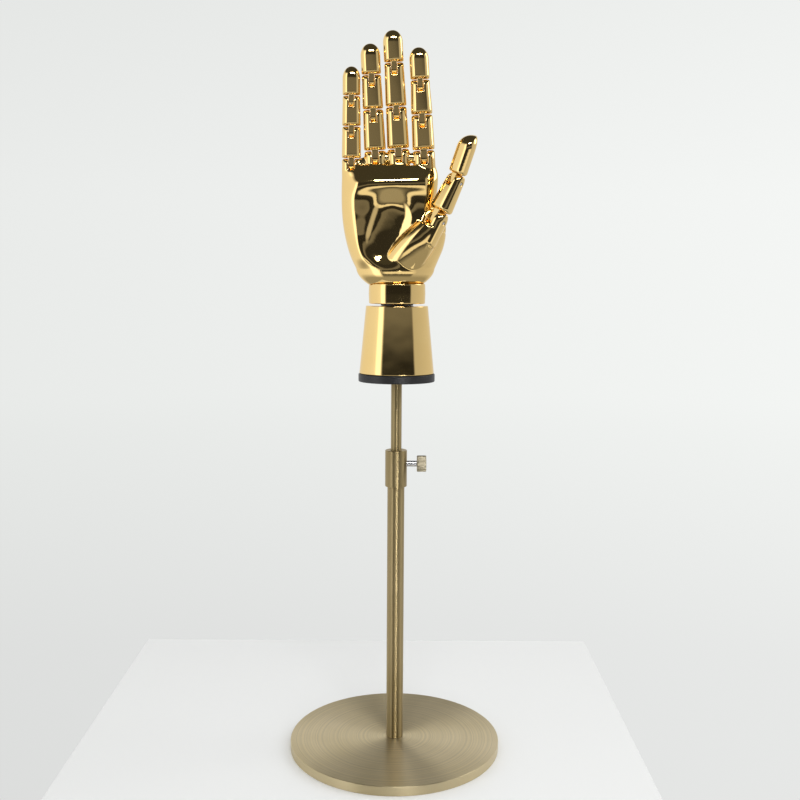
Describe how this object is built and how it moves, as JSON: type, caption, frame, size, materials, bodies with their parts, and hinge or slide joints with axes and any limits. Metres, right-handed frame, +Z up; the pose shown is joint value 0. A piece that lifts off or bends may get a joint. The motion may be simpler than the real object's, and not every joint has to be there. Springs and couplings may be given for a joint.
{
  "type": "hand jewelry stand",
  "caption": "Jointed gold-plated display hand on a height-adjustable brass post with a clamp screw and a round disc foot.",
  "frame": {"origin": "centre of the disc foot's underside, on the post's axis", "axes": "+Z up along the post, -Y the way the palm faces, +X towards the thumb and the clamp screw"},
  "size_m": [0.1998, 0.1998, 0.6679],
  "materials": {
    "brushed_brass": "brushed and lacquered, antique tone",
    "gold_plating": "mirror gold plating on moulded plastic",
    "steel": "bright turned",
    "black_plastic": "satin black",
    "nylon": "natural nylon"
  },
  "bodies": {
    "stand": {"base_plate": "brushed_brass", "base_screw": "steel", "foot_plug": "steel", "outer_tube": "brushed_brass", "collar": "brushed_brass"},
    "clamp_screw": {"clamp_shank": "steel", "clamp_knob": "brushed_brass"},
    "guide": {"rod_bush": "nylon"},
    "rod": {"inner_rod": "brushed_brass", "cap_insert": "steel", "cuff_cap": "black_plastic", "cuff": "gold_plating"},
    "wrist": {"wrist_washer": "black_plastic", "wrist_ring": "gold_plating", "wrist_stud": "steel"},
    "hand": {"palm": "gold_plating", "wrist_pin": "steel", "thumb_knuckle_pin": "steel", "little_knuckle_pin": "steel", "ring_knuckle_pin": "steel", "middle_knuckle_pin": "steel", "index_knuckle_pin": "steel"},
    "little_proximal": {"little_proximal": "gold_plating", "little_proximal_pin": "steel"},
    "little_middle": {"little_middle": "gold_plating", "little_middle_pin": "steel"},
    "little_distal": {"little_distal": "gold_plating"},
    "ring_proximal": {"ring_proximal": "gold_plating", "ring_proximal_pin": "steel"},
    "ring_middle": {"ring_middle": "gold_plating", "ring_middle_pin": "steel"},
    "ring_distal": {"ring_distal": "gold_plating"},
    "middle_proximal": {"middle_proximal": "gold_plating", "middle_proximal_pin": "steel"},
    "middle_middle": {"middle_middle": "gold_plating", "middle_middle_pin": "steel"},
    "middle_distal": {"middle_distal": "gold_plating"},
    "index_proximal": {"index_proximal": "gold_plating", "index_proximal_pin": "steel"},
    "index_middle": {"index_middle": "gold_plating", "index_middle_pin": "steel"},
    "index_distal": {"index_distal": "gold_plating"},
    "thumb_proximal": {"thumb_proximal": "gold_plating", "thumb_proximal_pin": "steel"},
    "thumb_distal": {"thumb_distal": "gold_plating"}
  },
  "joints": [
    {"name": "height_slide", "type": "slide", "parent": "stand", "child": "guide", "axis": [0, 0, 1], "range_m": [-0.062, 0.12]},
    {"name": "rod_turn", "type": "hinge", "parent": "guide", "child": "rod", "pos_m": [0, 0, 0.2896], "axis": [0, 0, 1], "continuous": true},
    {"name": "clamp_screw_turn", "type": "hinge", "parent": "stand", "child": "clamp_screw", "pos_m": [0.02, 0, 0.2768], "axis": [1, 0, 0], "continuous": true},
    {"name": "wrist_turn", "type": "hinge", "parent": "rod", "child": "wrist", "pos_m": [0, 0, 0.4573], "axis": [0, 0, 1], "continuous": true},
    {"name": "wrist_bend", "type": "hinge", "parent": "wrist", "child": "hand", "pos_m": [0, 0, 0.4573], "axis": [1, 0, 0], "range_deg": [-24, 14]},
    {"name": "little_knuckle_bend", "type": "hinge", "parent": "hand", "child": "little_proximal", "pos_m": [-0.0418, 0, 0.54926], "axis": [1, 0, 0], "range_deg": [-10, 75]},
    {"name": "little_middle_bend", "type": "hinge", "parent": "little_proximal", "child": "little_middle", "pos_m": [-0.0418, 0, 0.57778], "axis": [1, 0, 0], "range_deg": [-5, 80]},
    {"name": "little_tip_bend", "type": "hinge", "parent": "little_middle", "child": "little_distal", "pos_m": [-0.0418, 0, 0.60478], "axis": [1, 0, 0], "range_deg": [-5, 45]},
    {"name": "ring_knuckle_bend", "type": "hinge", "parent": "hand", "child": "ring_proximal", "pos_m": [-0.02021, 0, 0.55538], "axis": [0.9986, 0, 0.0523], "range_deg": [-10, 75]},
    {"name": "ring_middle_bend", "type": "hinge", "parent": "ring_proximal", "child": "ring_middle", "pos_m": [-0.02212, 0, 0.59198], "axis": [0.9986, 0, 0.0523], "range_deg": [-5, 80]},
    {"name": "ring_tip_bend", "type": "hinge", "parent": "ring_middle", "child": "ring_distal", "pos_m": [-0.02372, 0, 0.62251], "axis": [0.9986, 0, 0.0523], "range_deg": [-5, 45]},
    {"name": "middle_knuckle_bend", "type": "hinge", "parent": "hand", "child": "middle_proximal", "pos_m": [0.00074, 0, 0.55711], "axis": [0.9983, 0, 0.0576], "range_deg": [-10, 75]},
    {"name": "middle_middle_bend", "type": "hinge", "parent": "middle_proximal", "child": "middle_middle", "pos_m": [-0.00141, 0, 0.59442], "axis": [0.9983, 0, 0.0576], "range_deg": [-5, 80]},
    {"name": "middle_tip_bend", "type": "hinge", "parent": "middle_middle", "child": "middle_distal", "pos_m": [-0.00365, 0, 0.63314], "axis": [0.9983, 0, 0.0576], "range_deg": [-5, 45]},
    {"name": "index_knuckle_bend", "type": "hinge", "parent": "hand", "child": "index_proximal", "pos_m": [0.02357, 0, 0.55594], "axis": [0.9981, 0, 0.061], "range_deg": [-10, 75]},
    {"name": "index_middle_bend", "type": "hinge", "parent": "index_proximal", "child": "index_middle", "pos_m": [0.02164, 0, 0.58751], "axis": [0.9981, 0, 0.061], "range_deg": [-5, 80]},
    {"name": "index_tip_bend", "type": "hinge", "parent": "index_middle", "child": "index_distal", "pos_m": [0.01974, 0, 0.61856], "axis": [0.9981, 0, 0.061], "range_deg": [-5, 45]},
    {"name": "thumb_knuckle_bend", "type": "hinge", "parent": "hand", "child": "thumb_proximal", "pos_m": [0.03405, -0.0165, 0.5008], "axis": [0.6355, -0.7071, -0.31], "range_deg": [-15, 10]},
    {"name": "thumb_tip_bend", "type": "hinge", "parent": "thumb_proximal", "child": "thumb_distal", "pos_m": [0.05051, -0.0165, 0.53456], "axis": [0.6355, -0.7071, -0.31], "range_deg": [-10, 20]}
  ]
}
